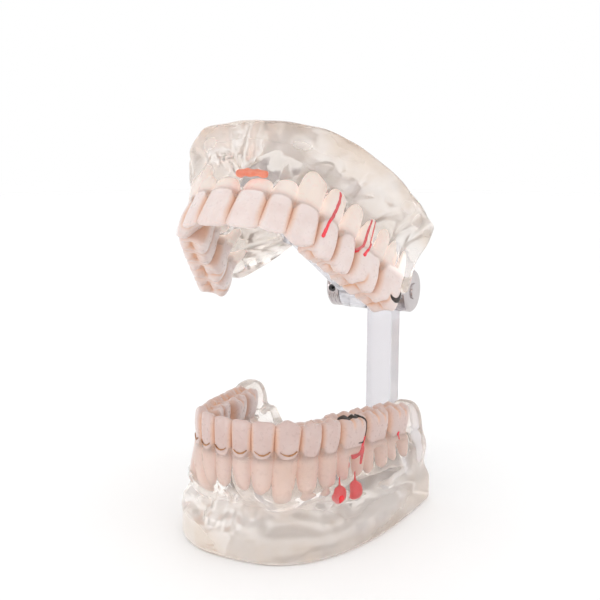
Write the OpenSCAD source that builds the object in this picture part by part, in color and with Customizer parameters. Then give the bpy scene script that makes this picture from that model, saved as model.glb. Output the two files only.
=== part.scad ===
// Opened clear dental study model: two resin jaws with ivory teeth on a friction hinge.
// Frame: millimetres, +Z up, -Y is the labial front, +X is the model's own left side.
// The origin is the centre of the lower base's flat underside.

/* [Lower jaw] */
// Half width of the lower base, measured at its back
base_half_w = 31.6; // [30:0.2:33]
// Depth of the lower base, front to back
base_depth = 61; // [59:1:63]
// Height of the flared foot rim of the lower base
rim_h = 8; // [6:0.5:10]
// How far the front of the jaw wall stands inside the foot rim
rim_inset = 1.2; // [1:0.1:2]
// Thickness of the floor plate inside the horseshoe
floor_h = 6; // [5:0.5:8]
// Height of the lower incisal edges above the table
incisal_h = 36.5; // [35:0.5:38]
// Tilt of the biting plane, front edge high
plane_tilt = 6.5; // [5:0.5:7]

/* [Upper jaw] */
// Half width of the upper base at its gum line
upper_gum_half_w = 29; // [28.5:0.1:30]
// Half width of the flared flat top of the upper base
upper_top_half_w = 33.5; // [31:0.5:35]
// Depth of the upper base at its gum line, front to back
upper_depth = 50; // [49:0.5:52]
// Height of the upper resin above its gum line
upper_h = 19.5; // [19:0.5:21]
// Half width of the palate vault
vault_half_w = 13.5; // [12:0.5:14]
// Height of the palate vault above the gum line
vault_h = 7; // [6:0.5:8]

/* [Bite] */
// Upper incisal edge in front of the lower one when the jaws are closed
overjet = 2.5; // [2.4:0.1:3]
// Upper incisal edge below the lower one when the jaws are closed
overbite = 0.3; // [0:0.1:0.3]

/* [Hinge] */
// Distance of the hinge axis behind the centre of the base
hinge_y = 58; // [56:1:60]
// Height of the hinge axis above the table
hinge_z = 55.5; // [54.5:0.5:56]
// How far the stored pose is open from the closed bite
open_angle = 30; // [26:0.5:32]
// Diameter of the steel hinge axle
axle_d = 5; // [4:0.5:6]
// Diameter of each steel collar
collar_d = 13.5; // [12:0.5:14]
// Thickness of the grooved collar on the right
collar_w = 4.4; // [4:0.2:5]
// Thickness of the smooth collar on the left
cap_w = 5.8; // [5:0.2:6]
// Width of the hinge post and of the hinge arm, across the model
bar_w = 8.4; // [7:0.2:9]
// Depth of the hinge post, front to back
post_d = 7.5; // [7:0.5:9]
// Radius of the round heads of the post and the arm
head_r = 7; // [6:0.5:7.5]

/* [Hidden] */
$fn = 48;
TOOTH_KINDS = ["central_incisor", "lateral_incisor", "canine", "first_premolar",
    "second_premolar", "first_molar", "second_molar", "third_molar"];
// Tooth sizes in TOOTH_KINDS order: width along the arch, depth across it, crown, root
LOWER_W = [5.4, 5.9, 6.9, 7.0, 7.1, 11.2, 10.6, 10.5];
LOWER_D = [5.6, 5.8, 7.0, 7.6, 8.0, 9.6, 9.4, 9.0];
LOWER_CROWN = [9.0, 9.0, 9.4, 8.4, 8.4, 8.4, 8.4, 8.4];
LOWER_ROOT = [9, 9.5, 12, 11, 11, 9.3, 9.6, 8.5];
UPPER_W = [8.5, 6.6, 7.6, 7.0, 6.8, 10.4, 9.9];
UPPER_D = [6.6, 6.0, 7.6, 8.6, 8.6, 10.4, 10.2];
UPPER_CROWN = [9.6, 9.2, 10, 9.5, 9.5, 9.5, 9.5];
UPPER_ROOT = [5, 6, 11, 10, 10, 9.5, 9];
// Arch curves [turn, reach, sharpness]: the heading along an arch is
// turn * tanh((s / reach) ^ sharpness) at distance s from the midline
LOWER_ARCH = [78.8, 19.1, 1.3];
UPPER_ARCH = [72, 19.8, 1.8];
arch_step = 0.5;
arch_steps = 150;
root_lean = 10;
vault_y = 22;

base_back = base_depth / 2;
front_y = 1.5 - base_back;
full_depth = base_depth + 8.5;
lower_gum_z = incisal_h - 9;
upper_front_y = front_y - overjet;
upper_gum_z = incisal_h - overbite + 9.6;
axle_gap = 0.05;
side_gap = 0.15;
socket_gap = 0.05;
collar_x = bar_w + 2 * side_gap;
arm_h = 8;
arm_front = -9;
foot_h = 7;
tongue_front = 12 - base_back;
foot_front = 12;
pad_r = 2.7;
pad_h = 12;
// Pads behind the last lower molars: [inner edge, width, front]. The one on the right is long and
// fills the place of the missing third molar.
LEFT_PAD = [19, 10.5, 24.9];
RIGHT_PAD = [21.5, 9, 17.2];
screw_d = 3;
screw_head_d = 5.5;
set_screw_d = 2.3;
cyst_r = 2.1;
lesion_r = 1.1;
axle_end = 0.5;
foot_screws_y = [17, 25];
arm_screws_y = [-4, 6];

function tooth_name(jaw, side, kind) = str(jaw, side > 0 ? "_left_" : "_right_", TOOTH_KINDS[kind]);
// Every tooth as [kind, side]; the lower jaw has a third molar on the left only
LOWER_TEETH = [for (kind = [0:7], side = kind < 7 ? [-1, 1] : [1]) [kind, side]];
UPPER_TEETH = [for (kind = [0:6], side = [-1, 1]) [kind, side]];

// ---------- arch curve ----------
function tanh(u) = (exp(u) - exp(-u)) / (exp(u) + exp(-u));
function heading(s, arch) = arch[0] * tanh(pow(s / arch[1], arch[2]));
function arch_path(arch) = [
    for (i = 0, p = [0, 0]; i <= arch_steps; p = p + arch_step * [
        cos(heading((i + 0.5) * arch_step, arch)),
        sin(heading((i + 0.5) * arch_step, arch))], i = i + 1) p];
LOWER_PATH = arch_path(LOWER_ARCH);
UPPER_PATH = arch_path(UPPER_ARCH);
function total(v, n) = n == 0 ? 0 : v[n - 1] + total(v, n - 1);
function middle(widths, kind) = total(widths, kind) + widths[kind] / 2;
function on_path(path, s) = let (i = floor(s / arch_step), t = s / arch_step - i)
    path[i] * (1 - t) + path[i + 1] * t;

// Puts children on an arch at distance s from the midline, +Y pointing to the tongue
module on_arch(path, arch, s, side) {
    p = on_path(path, s);
    mirror([side > 0 ? 0 : 1, 0, 0]) translate([p[0], p[1], 0])
        rotate([0, 0, heading(s, arch)]) children();
}

// Puts children in the lower gum plane, at the front of the arch
module on_lower_gum() {
    translate([0, front_y, lower_gum_z]) rotate([-plane_tilt, 0, 0]) children();
}

// Puts children, built with the crown up, in the closed upper gum plane
module on_upper_gum() {
    translate([0, upper_front_y, upper_gum_z]) rotate([-plane_tilt, 0, 0])
        mirror([0, 0, 1]) children();
}

// Turns the closed upper jaw about the hinge axis to the stored open pose
module opened() {
    translate([0, hinge_y, hinge_z]) rotate([-open_angle, 0, 0])
        translate([0, -hinge_y, -hinge_z]) children();
}

// ---------- teeth ----------
// Thin elliptical slice of a crown
module slice(z, w, d, y, x = 0) {
    translate([x, y, z]) scale([w, d, 1]) cylinder(d = 1, h = 0.2, $fn = 20);
}

// Crown from the gum line up: the biting edge of a front tooth lies at y = 0
module crown(kind, w, d, h) {
    mid = kind < 3 ? 0.24 * d : 0.32 * d;
    hull() {
        slice(0, 0.74 * w, 0.86 * d, mid + 0.04 * d);
        slice(0.45 * h, (kind < 3 ? 0.9 : 0.95) * w, 0.94 * d, mid);
        if (kind < 2) translate([-0.46 * w, -0.6, h - 0.5]) cube([0.92 * w, 1.2, 0.5]);
        if (kind == 2) {
            translate([-0.42 * w, -0.6, h - 2.6]) cube([0.84 * w, 1.4, 0.5]);
            slice(h - 0.2, 1.6, 1.2, 0.1);
        }
        if (kind > 2) slice(h - 1.6, 0.92 * w, 0.8 * d, mid);
        if (kind == 3 || kind == 4) {
            slice(h - 0.2, 1.8, 1.2, mid - 0.26 * d);
            slice(h - 0.9, 1.8, 1.2, mid + 0.26 * d);
        }
        if (kind > 4) for (x = [-0.26, 0.26], y = [-0.26, 0.26])
            slice(h - (y < 0 ? 0.2 : 0.6), 2, 1.6, mid + y * d, x * w);
    }
}

// Centres of the roots under a crown, as [x, y] fractions of its width and depth
function root_places(jaw, kind) = kind < 5 ? [[0, jaw == "lower" ? 0.42 : 0.38]] :
    jaw == "lower" ? [[-0.25, 0.34], [0.25, 0.34]] : [[-0.25, 0.3], [0.25, 0.3], [0, 0.66]];

// Tapered round roots below the gum line; grow widens them into sockets. The roots of the
// lower front teeth lean back towards the tongue.
module roots(jaw, kind, w, d, root_h, grow = 0) {
    neck = kind < 5 ? 0.36 * min(w, d) : 0.23 * w;
    lean = jaw == "lower" && kind < 3 ? root_lean : 0;
    for (at = root_places(jaw, kind)) translate([at[0] * w, at[1] * d, 0]) rotate([lean, 0, 0])
        translate([0, 0, -root_h - grow])
            cylinder(r1 = 0.45 * neck + grow, r2 = neck + grow, h = root_h + grow + 0.4, $fn = 32);
}

module lower_tooth(kind, side) {
    color("antiquewhite") on_lower_gum()
        on_arch(LOWER_PATH, LOWER_ARCH, middle(LOWER_W, kind), side) {
            crown(kind, LOWER_W[kind], LOWER_D[kind], LOWER_CROWN[kind]);
            roots("lower", kind, LOWER_W[kind], LOWER_D[kind], LOWER_ROOT[kind]);
        }
}

module upper_tooth(kind, side) {
    color("antiquewhite") opened() on_upper_gum()
        on_arch(UPPER_PATH, UPPER_ARCH, middle(UPPER_W, kind), side) {
            crown(kind, UPPER_W[kind], UPPER_D[kind], UPPER_CROWN[kind]);
            roots("upper", kind, UPPER_W[kind], UPPER_D[kind], UPPER_ROOT[kind]);
        }
}

module lower_sockets() {
    on_lower_gum() for (tooth = LOWER_TEETH) let (kind = tooth[0])
        on_arch(LOWER_PATH, LOWER_ARCH, middle(LOWER_W, kind), tooth[1])
            roots("lower", kind, LOWER_W[kind], LOWER_D[kind], LOWER_ROOT[kind], socket_gap);
}

module upper_sockets() {
    on_upper_gum() for (tooth = UPPER_TEETH) let (kind = tooth[0])
        on_arch(UPPER_PATH, UPPER_ARCH, middle(UPPER_W, kind), tooth[1])
            roots("upper", kind, UPPER_W[kind], UPPER_D[kind], UPPER_ROOT[kind], socket_gap);
}

// ---------- lower jaw ----------
// Horseshoe plan: a rounded front at y = front that widens to a straight edge at y = back
module jaw_plan(half_w, front, back, full, square_n = 2.7) {
    polygon([for (t = [0:5:180]) [
        half_w * sign(cos(t)) * pow(abs(cos(t)), 2 / square_n),
        min(back, front + full * (1 - pow(sin(t), 2 / square_n)))]]);
}

module rim_plan() {
    jaw_plan(base_half_w, -base_back, base_back, full_depth);
}

module wall_plan() {
    jaw_plan(base_half_w - 0.6, rim_inset - base_back, base_back, full_depth - rim_inset);
}

module lower_jaw_outer() {
    linear_extrude(rim_h) rim_plan();
    hull() {
        translate([0, 0, rim_h - 0.5]) linear_extrude(0.5) rim_plan();
        translate([0, 0, rim_h + rim_inset]) linear_extrude(0.5) wall_plan();
    }
    translate([0, 0, rim_h]) linear_extrude(incisal_h) wall_plan();
}

// Clear pad that rises behind a last lower molar, rounded on top
module retromolar_pad(pad, side) {
    hull() for (y = [pad[2] + pad_r, base_back - pad_r - 0.2])
        translate([side > 0 ? pad[0] : -pad[0] - pad[1], y, lower_gum_z]) {
            rotate([0, 90, 0]) cylinder(r = pad_r, h = pad[1]);
            translate([0, -pad_r, -pad_h]) cube([pad[1], 2 * pad_r, pad_h]);
        }
}

module lower_jaw_base() {
    color("aliceblue") difference() {
        union() {
            intersection() {
                lower_jaw_outer();
                on_lower_gum() translate([-60, -30, -60]) cube([120, 130, 60]);
            }
            retromolar_pad(LEFT_PAD, 1);
            retromolar_pad(RIGHT_PAD, -1);
        }
        translate([0, 0, floor_h]) linear_extrude(incisal_h)
            jaw_plan(15.5, tongue_front, base_back + 1, full_depth);
        lower_sockets();
        for (y = foot_screws_y) translate([side_gap + bar_w / 2, y, floor_h - 4.5])
            cylinder(d = screw_d + 2 * axle_gap, h = 5);
    }
}

// ---------- what the lower left teeth show ----------
// Straight round rod from a to b
module rod(a, b, r) {
    v = b - a;
    translate(a) rotate([0, acos(v[2] / norm(v)), atan2(v[1], v[0])])
        cylinder(r = r, h = norm(v), $fn = 24);
}

module on_lower_tooth(kind, side) {
    on_lower_gum() on_arch(LOWER_PATH, LOWER_ARCH, middle(LOWER_W, kind), side)
        children();
}

module on_upper_tooth(kind, side) {
    opened() on_upper_gum()
        on_arch(UPPER_PATH, UPPER_ARCH, middle(UPPER_W, kind), side) children();
}

// Brown tartar lines across the front of the six lower front teeth
module lower_calculus() {
    color("sienna") for (kind = [0:2], side = [-1, 1]) on_lower_tooth(kind, side)
        translate([0, 0.28 * LOWER_D[kind], 0.9]) rotate([0, 0, 215])
            rotate_extrude(angle = 110) translate([0.45 * LOWER_D[kind], 0]) circle(r = 0.35, $fn = 16);
}

// Rods end to end along a list of points, with a slightly larger ball at each bend
module line_of_rods(points, r) {
    for (i = [1:len(points) - 1]) rod(points[i - 1], points[i], r);
    for (i = [1:len(points) - 2]) translate(points[i]) sphere(r = 1.25 * r, $fn = 24);
}

// Black decay on the lower left first molar, with the crack that runs round its back
module lower_molar_decay() {
    top = LOWER_CROWN[5];
    color("black") on_lower_tooth(5, 1) {
        translate([-3, 1, top - 1.4]) cylinder(r = 1.6, h = 1.6);
        line_of_rods([[-2, 0.6, top - 0.2], [3.2, 0.2, top - 0.7], [5.1, 0.2, 5.4], [5.2, 0, 1.2],
            [1.8, -0.4, 0.7]], 0.3);
    }
}

// Inflamed red pulp of the same molar, branching to both roots
module lower_molar_pulp() {
    fork = [3.6, 0.8, -1];
    color("crimson") on_lower_tooth(5, 1) {
        line_of_rods([[5.2, 0.8, 0.4], fork, [-1, 0.8, -5]], 0.45);
        line_of_rods([fork, [3.2, 0.8, -4.6]], 0.45);
    }
}

// Two round cysts below the roots of the same molar, just inside the cheek side of the resin
module lower_root_cysts() {
    color("firebrick") on_lower_tooth(5, 1) {
        translate([-7.4, -1.9, -11.4]) sphere(r = cyst_r, $fn = 32);
        translate([-1.4, -1.9, -10.9]) sphere(r = cyst_r, $fn = 32);
    }
}

module lower_wisdom_pulp() {
    color("crimson") on_lower_tooth(7, 1) rod([-0.4, 0.8, -1.2], [-0.4, 0.8, -3.4], 0.45);
}

// ---------- hinge ----------
// Side outline given as [y, z] points, extruded across the model from x
module side_plate(x, w, points) {
    translate([x, 0, 0]) rotate([90, 0, 90]) linear_extrude(w) polygon(points);
}

module cross_cylinder(x, w, r) {
    translate([x, hinge_y, hinge_z]) rotate([0, 90, 0]) cylinder(r = r, h = w);
}

// Upright bar with a round head, and a foot that is screwed to the floor of the lower jaw
module hinge_post() {
    back = hinge_y + post_d / 2;
    front = hinge_y - post_d / 2;
    step = base_back + 0.3;
    color("aliceblue") difference() {
        union() {
            side_plate(side_gap, bar_w, [[foot_front, floor_h], [step, floor_h], [step, 0], [back, 0],
                [back, hinge_z], [front, hinge_z], [front, floor_h + foot_h],
                [foot_front, floor_h + foot_h]]);
            cross_cylinder(side_gap, bar_w, head_r);
        }
        cross_cylinder(side_gap - 1, bar_w + 2, axle_d / 2 + 0.02);
        for (y = foot_screws_y) translate([side_gap + bar_w / 2, y, floor_h - 1])
            cylinder(d = screw_d + 4 * axle_gap, h = foot_h + 2);
    }
}

// Pan head screw with a hex socket, pointing down, its head resting at z = 0
module pan_screw(shank) {
    difference() {
        union() {
            cylinder(d = screw_head_d, h = 2);
            translate([0, 0, -shank]) cylinder(d = screw_d, h = shank + 0.5);
        }
        translate([0, 0, 0.8]) cylinder(d = 2.6, h = 2, $fn = 6);
    }
}

module post_screws() {
    color("aliceblue") for (y = foot_screws_y)
        translate([side_gap + bar_w / 2, y, floor_h + foot_h]) pan_screw(foot_h + 4);
}

module hinge_axle() {
    color("silver") cross_cylinder(-collar_x - collar_w - axle_end,
        2 * collar_x + collar_w + cap_w + 2 * axle_end, axle_d / 2);
}

// Round steel collar from x = 0 to x = w, with a radial hole for its set screw
module collar(w, grooved) {
    r = collar_d / 2;
    bore_r = axle_d / 2 + 0.02;
    groove = grooved ? [for (x = [1.4, 2.8]) each [[r, x - 0.4], [r - 0.3, x - 0.2], [r - 0.3, x + 0.2],
        [r, x + 0.4]]] : [];
    difference() {
        rotate([0, 90, 0]) rotate_extrude() polygon(concat([[bore_r, 0], [r - 0.4, 0], [r, 0.4]], groove,
            [[r, w - 0.6], [r - 0.6, w], [bore_r, w]]));
        translate([w / 2, 0, 0]) rotate([90, 0, 0]) cylinder(d = set_screw_d + 0.1, h = r + 1, $fn = 32);
    }
}

module hinge_collar_left() {
    color("lightgray") translate([collar_x, hinge_y, hinge_z]) collar(cap_w, false);
}

module hinge_collar_right() {
    color("lightgray") translate([-collar_x, hinge_y, hinge_z]) mirror([1, 0, 0]) collar(collar_w, true);
}

module collar_set_screws() {
    color("dimgray") for (x = [-collar_x - collar_w / 2, collar_x + cap_w / 2])
        translate([x, hinge_y - axle_d / 2 - 0.1, hinge_z]) rotate([90, 0, 0]) difference() {
            cylinder(d = set_screw_d, h = collar_d / 2 - 3, $fn = 32);
            translate([0, 0, collar_d / 2 - 4.4]) cylinder(d = 1.2, h = 2, $fn = 6);
        }
}

// Arm of the upper jaw beside the post, modelled with the jaws closed
module hinge_arm() {
    x = -side_gap - bar_w;
    low = hinge_z - arm_h / 2;
    high = hinge_z + arm_h / 2;
    color("aliceblue") opened() difference() {
        union() {
            side_plate(x, bar_w, [[arm_front, low], [hinge_y, low], [hinge_y, high], [arm_front, high]]);
            cross_cylinder(x, bar_w, head_r);
        }
        cross_cylinder(x - 1, bar_w + 2, axle_d / 2 + axle_gap);
        for (y = arm_screws_y) translate([x + bar_w / 2, y, low - 1])
            cylinder(d = screw_d + 4 * axle_gap, h = arm_h + 2);
    }
}

module arm_screws() {
    color("aliceblue") opened() for (y = arm_screws_y)
        translate([-side_gap - bar_w / 2, y, hinge_z + arm_h / 2]) pan_screw(arm_h + 3);
}

// ---------- upper jaw ----------
// The upper base in its own gum plane, crown side up: the resin lies below z = 0
module upper_jaw_outer() {
    hull() {
        translate([0, 0, -4]) linear_extrude(4)
            jaw_plan(upper_gum_half_w, -0.5, upper_depth, upper_depth + 8);
        translate([0, 0, -upper_h]) linear_extrude(4)
            jaw_plan(upper_top_half_w, -2.5, upper_depth - 4, upper_depth + 8);
    }
}

// Vaulted palate, open to the back
module palate_vault() {
    length = 80;
    translate([0, vault_y + length, 0]) rotate([90, 0, 0]) linear_extrude(length)
        polygon([for (t = [0:10:180]) [vault_half_w * cos(t), -vault_h * sin(t)]]);
    translate([0, vault_y, 0]) rotate_extrude()
        polygon(concat([[0, 0.5]], [for (t = [0:10:90]) [vault_half_w * cos(t), -vault_h * sin(t)]],
            [[0, -vault_h]]));
}

module upper_jaw_base() {
    slot_x = -side_gap - bar_w - socket_gap;
    slot_low = hinge_z - arm_h / 2 - socket_gap;
    color("aliceblue") opened() difference() {
        on_upper_gum() upper_jaw_outer();
        on_upper_gum() palate_vault();
        upper_sockets();
        translate([slot_x, arm_front - socket_gap, slot_low]) cube([bar_w + 2 * socket_gap, 80, 30]);
        for (y = arm_screws_y) translate([-side_gap - bar_w / 2, y, slot_low - 3.2])
            cylinder(d = screw_d + 2 * axle_gap, h = 4);
    }
}

// ---------- what the upper left teeth show ----------
// Black crescent of decay on the last upper left molar
module upper_molar_decay() {
    color("black") on_upper_tooth(6, 1) translate([1.4, 0.9, UPPER_CROWN[6] - 5]) rotate([90, 0, 0])
        rotate_extrude(angle = 130) translate([2.2, 0]) circle(r = 0.6, $fn = 16);
}

module upper_premolar_canal() {
    color("crimson") on_upper_tooth(3, 1)
        line_of_rods([[1, 1.3, -11], [0.2, 1.1, -5], [-1.4, 0.7, 0.8]], 0.4);
}

module upper_molar_canals() {
    color("crimson") on_upper_tooth(5, 1) for (x = [-3.6, -1.3])
        line_of_rods([[x, 0.4, -8.8], [x, 0.4, -1.5], [x - 1.2, 0.4, 1]], 0.4);
}

// Flat red lesion across the root tips of the two upper central incisors
module upper_root_lesion() {
    color("orangered") opened() on_upper_gum() translate([2.4, 1.4, -6.2]) {
        rotate([0, 90, 0]) cylinder(r = lesion_r, h = 7, center = true, $fn = 32);
        for (x = [-3.5, 3.5]) translate([x, 0, 0]) sphere(r = lesion_r, $fn = 32);
    }
}

lower_jaw_base();
for (tooth = LOWER_TEETH)
    lower_tooth(tooth[0], tooth[1]);
lower_calculus();
lower_molar_decay();
lower_molar_pulp();
lower_root_cysts();
lower_wisdom_pulp();
hinge_post();
post_screws();
hinge_axle();
hinge_collar_left();
hinge_collar_right();
collar_set_screws();
upper_jaw_base();
for (tooth = UPPER_TEETH)
    upper_tooth(tooth[0], tooth[1]);
upper_molar_decay();
upper_premolar_canal();
upper_molar_canals();
upper_root_lesion();
hinge_arm();
arm_screws();
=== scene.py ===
"""Looks of the opened clear dental study model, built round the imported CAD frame.

Lengths are millimetres inside the shape functions and become metres in add_piece().
The camera, the lights and the floor are in metres from the start.
Row frame: +Z up, -Y towards the front teeth, +X the model's own left side.
"""
import math
import bpy
import numpy as np
from mathutils import Matrix, Vector


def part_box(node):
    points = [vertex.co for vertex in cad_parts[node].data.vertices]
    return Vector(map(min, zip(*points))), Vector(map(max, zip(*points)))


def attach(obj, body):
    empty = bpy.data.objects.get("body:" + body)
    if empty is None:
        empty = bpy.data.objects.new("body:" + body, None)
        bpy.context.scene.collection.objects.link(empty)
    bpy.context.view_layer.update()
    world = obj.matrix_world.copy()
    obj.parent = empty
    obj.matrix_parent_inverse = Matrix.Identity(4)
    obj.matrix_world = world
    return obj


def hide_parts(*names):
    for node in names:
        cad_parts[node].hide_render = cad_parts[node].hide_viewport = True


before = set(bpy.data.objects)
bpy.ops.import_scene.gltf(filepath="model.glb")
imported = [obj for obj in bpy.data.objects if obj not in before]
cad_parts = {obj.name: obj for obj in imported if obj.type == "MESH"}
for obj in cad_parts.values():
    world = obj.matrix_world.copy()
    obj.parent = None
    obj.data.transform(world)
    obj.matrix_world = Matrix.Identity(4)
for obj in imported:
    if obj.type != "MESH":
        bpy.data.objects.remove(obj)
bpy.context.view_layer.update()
MM = 0.001

# ---------- driving dimensions, the same as the CAD model's ----------
KINDS = ("central_incisor", "lateral_incisor", "canine", "first_premolar",
         "second_premolar", "first_molar", "second_molar", "third_molar")
CANINE, FIRST_PREMOLAR, FIRST_MOLAR, SECOND_MOLAR, THIRD_MOLAR = 2, 3, 5, 6, 7
SIDES = {"left": 1, "right": -1}
LEFT = SIDES["left"]
WIDTH = {"lower": (5.4, 5.9, 6.9, 7.0, 7.1, 11.2, 10.6, 10.5),
         "upper": (8.5, 6.6, 7.6, 7.0, 6.8, 10.4, 9.9)}
DEPTH = {"lower": (5.6, 5.8, 7.0, 7.6, 8.0, 9.6, 9.4, 9.0),
         "upper": (6.6, 6.0, 7.6, 8.6, 8.6, 10.4, 10.2)}
CROWN = {"lower": (9.0, 9.0, 9.4, 8.4, 8.4, 8.4, 8.4, 8.4),
         "upper": (9.6, 9.2, 10.0, 9.5, 9.5, 9.5, 9.5)}
ROOT = {"lower": (9.0, 9.5, 12.0, 11.0, 11.0, 9.3, 9.6, 8.5),
        "upper": (5.0, 6.0, 11.0, 10.0, 10.0, 9.5, 9.0)}
ARCH = {"lower": (78.8, 19.1, 1.3), "upper": (72.0, 19.8, 1.8)}
ARCH_STEP = 0.5
ARCH_STEPS = 150
PLANE_TILT = 6.5
BASE_HALF_W = 31.6
BASE_BACK = 30.5
BASE_FULL = 69.5
FLOOR_H = 6.0
LOWER_FRONT_Y = -29.0
LOWER_GUM_Z = 27.5
UPPER_FRONT_Y = -31.5
UPPER_GUM_Z = 45.8
UPPER_GUM_HALF_W = 29.0
UPPER_TOP_HALF_W = 33.5
UPPER_DEPTH = 50.0
UPPER_H = 19.5
VAULT_HALF_W = 13.5
VAULT_H = 7.0
VAULT_Y = 22.0
HINGE = (0.0, 58.0, 55.5)
OPEN_ANGLE = 30.0
PLAN_POWER = 2.7
ARM_MIDDLE_X = -4.35
ARM_SLOT_HALF_W = 4.5
ARM_FRONT = -9.0
ARM_LOW = HINGE[2] - 4.0
SLOT_GAP = 0.3


# ---------- frames ----------
def turn_x(degrees):
    return Matrix.Rotation(math.radians(degrees), 4, "X")


def shift(x, y, z):
    return Matrix.Translation(Vector((x, y, z)))


MIRROR_X = Matrix.Diagonal((-1, 1, 1, 1))
MIRROR_Z = Matrix.Diagonal((1, 1, -1, 1))
OPENED = shift(*HINGE) @ turn_x(-OPEN_ANGLE) @ shift(*(-v for v in HINGE))
GUM_FRAME = {
    "lower": shift(0, LOWER_FRONT_Y, LOWER_GUM_Z) @ turn_x(-PLANE_TILT),
    "upper": OPENED @ shift(0, UPPER_FRONT_Y, UPPER_GUM_Z) @ turn_x(-PLANE_TILT) @ MIRROR_Z,
}


def heading(s, jaw):
    """Direction of the arch, in radians, at distance s from the midline."""
    turn, reach, sharpness = ARCH[jaw]
    return np.radians(turn) * np.tanh((np.maximum(s, 0) / reach) ** sharpness)


def arch_path(jaw):
    middle = heading((np.arange(ARCH_STEPS) + 0.5) * ARCH_STEP, jaw)
    steps = ARCH_STEP * np.stack([np.cos(middle), np.sin(middle)], 1)
    return np.vstack([[0.0, 0.0], np.cumsum(steps, 0)])


PATH = {jaw: arch_path(jaw) for jaw in ARCH}


def tooth_middle(jaw, kind):
    return sum(WIDTH[jaw][:kind]) + WIDTH[jaw][kind] / 2


def tooth_frame(jaw, kind, side):
    """Matrix from a tooth's own frame (x distal, y lingual, z to the biting end) to the row frame."""
    s = tooth_middle(jaw, kind)
    x, y = (np.interp(s, np.arange(ARCH_STEPS + 1) * ARCH_STEP, PATH[jaw][:, i]) for i in (0, 1))
    place = shift(x, y, 0) @ Matrix.Rotation(float(heading(s, jaw)), 4, "Z")
    return GUM_FRAME[jaw] @ (place if side > 0 else MIRROR_X @ place)


TABLE_STEP = 0.3
TABLE_X = np.arange(0, 42, TABLE_STEP)
TABLE_Y = np.arange(-12, 84, TABLE_STEP)


def arch_table(jaw):
    """Distance along the arch and distance inwards from it, on a fine grid of the gum plane."""
    path = PATH[jaw]
    x, y = np.meshgrid(TABLE_X, TABLE_Y, indexing="ij")
    best = np.full(x.shape, 1e9)
    table = np.zeros((*x.shape, 2))
    for i in range(ARCH_STEPS):
        along = (path[i + 1] - path[i]) / ARCH_STEP
        dx, dy = x - path[i, 0], y - path[i, 1]
        f = np.clip(dx * along[0] + dy * along[1], 0, ARCH_STEP)
        gap = np.hypot(dx - f * along[0], dy - f * along[1])
        inwards = np.where(dy * along[0] < dx * along[1], -1, 1)
        nearer = gap < best
        best[nearer] = gap[nearer]
        table[nearer] = np.stack([i * ARCH_STEP + f, inwards * gap], -1)[nearer]
    return table


ARCH_TABLE = {jaw: arch_table(jaw) for jaw in ARCH}


def arch_coordinates(x, y, jaw):
    """The table's two distances at any points of the gum plane."""
    table = ARCH_TABLE[jaw]
    u = np.clip(np.abs(x) / TABLE_STEP, 0, len(TABLE_X) - 1.001)
    v = np.clip((y - TABLE_Y[0]) / TABLE_STEP, 0, len(TABLE_Y) - 1.001)
    i, j = u.astype(int), v.astype(int)
    u, v = (u - i)[..., None], (v - j)[..., None]
    both = ((table[i, j] * (1 - u) + table[i + 1, j] * u) * (1 - v)
            + (table[i, j + 1] * (1 - u) + table[i + 1, j + 1] * u) * v)
    return both[..., 0], both[..., 1]


# ---------- implicit shapes: a field is negative inside ----------
def smin(a, b, k):
    """Union of two fields, rounded over about k millimetres."""
    h = np.clip(0.5 + 0.5 * (b - a) / k, 0, 1)
    return b * (1 - h) + a * h - k * h * (1 - h)


def smax(a, b, k):
    """Overlap of two fields, rounded over about k millimetres."""
    return -smin(-a, -b, k)


def bump(x, middle, width):
    """1 at middle, falling to 0 on both sides over about width."""
    return np.exp(-((x - middle) / width) ** 2)


def ramp(x, low, high):
    """0 below low, 1 above high, smooth between."""
    t = np.clip((x - low) / (high - low), 0, 1)
    return t * t * (3 - 2 * t)


def spline(t, knots, values):
    """Smooth curve through values at knots."""
    knots, values = np.asarray(knots, float), np.asarray(values, float)
    slopes = np.gradient(values, knots)
    t = np.clip(t, knots[0], knots[-1])
    i = np.clip(np.searchsorted(knots, t, side="right") - 1, 0, len(knots) - 2)
    h = knots[i + 1] - knots[i]
    u = (t - knots[i]) / h
    return (values[i] * (1 + 2 * u) * (1 - u) ** 2 + values[i + 1] * u * u * (3 - 2 * u)
            + slopes[i] * h * u * (1 - u) ** 2 - slopes[i + 1] * h * u * u * (1 - u))


WAVE_COUNT = 5


def waves(x, y, z, size, seed):
    """Smooth irregular field of about -1 to 1, with features of about that size."""
    draw = np.random.default_rng(seed)
    total = 0
    for _ in range(WAVE_COUNT):
        way = draw.normal(size=3)
        way = way / np.linalg.norm(way) * draw.uniform(0.7, 1.5) * 2 * math.pi / size
        total = total + np.sin(way[0] * x + way[1] * y + way[2] * z + draw.uniform(0, 6.28))
    return total / 3


def line_distance(x, y, z, points, radii):
    """Distance to a chain of tapering round rods through points."""
    gaps = []
    for a, b, ra, rb in zip(points, points[1:], radii, radii[1:]):
        a, v = np.array(a, float), np.subtract(b, a).astype(float)
        f = ((x - a[0]) * v[0] + (y - a[1]) * v[1] + (z - a[2]) * v[2]) / (v @ v)
        f = np.clip(f, 0, 1)
        off = np.sqrt((x - a[0] - f * v[0]) ** 2 + (y - a[1] - f * v[1]) ** 2
                      + (z - a[2] - f * v[2]) ** 2)
        gaps.append(off - (ra + (rb - ra) * f))
    return np.minimum.reduce(gaps)


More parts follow.
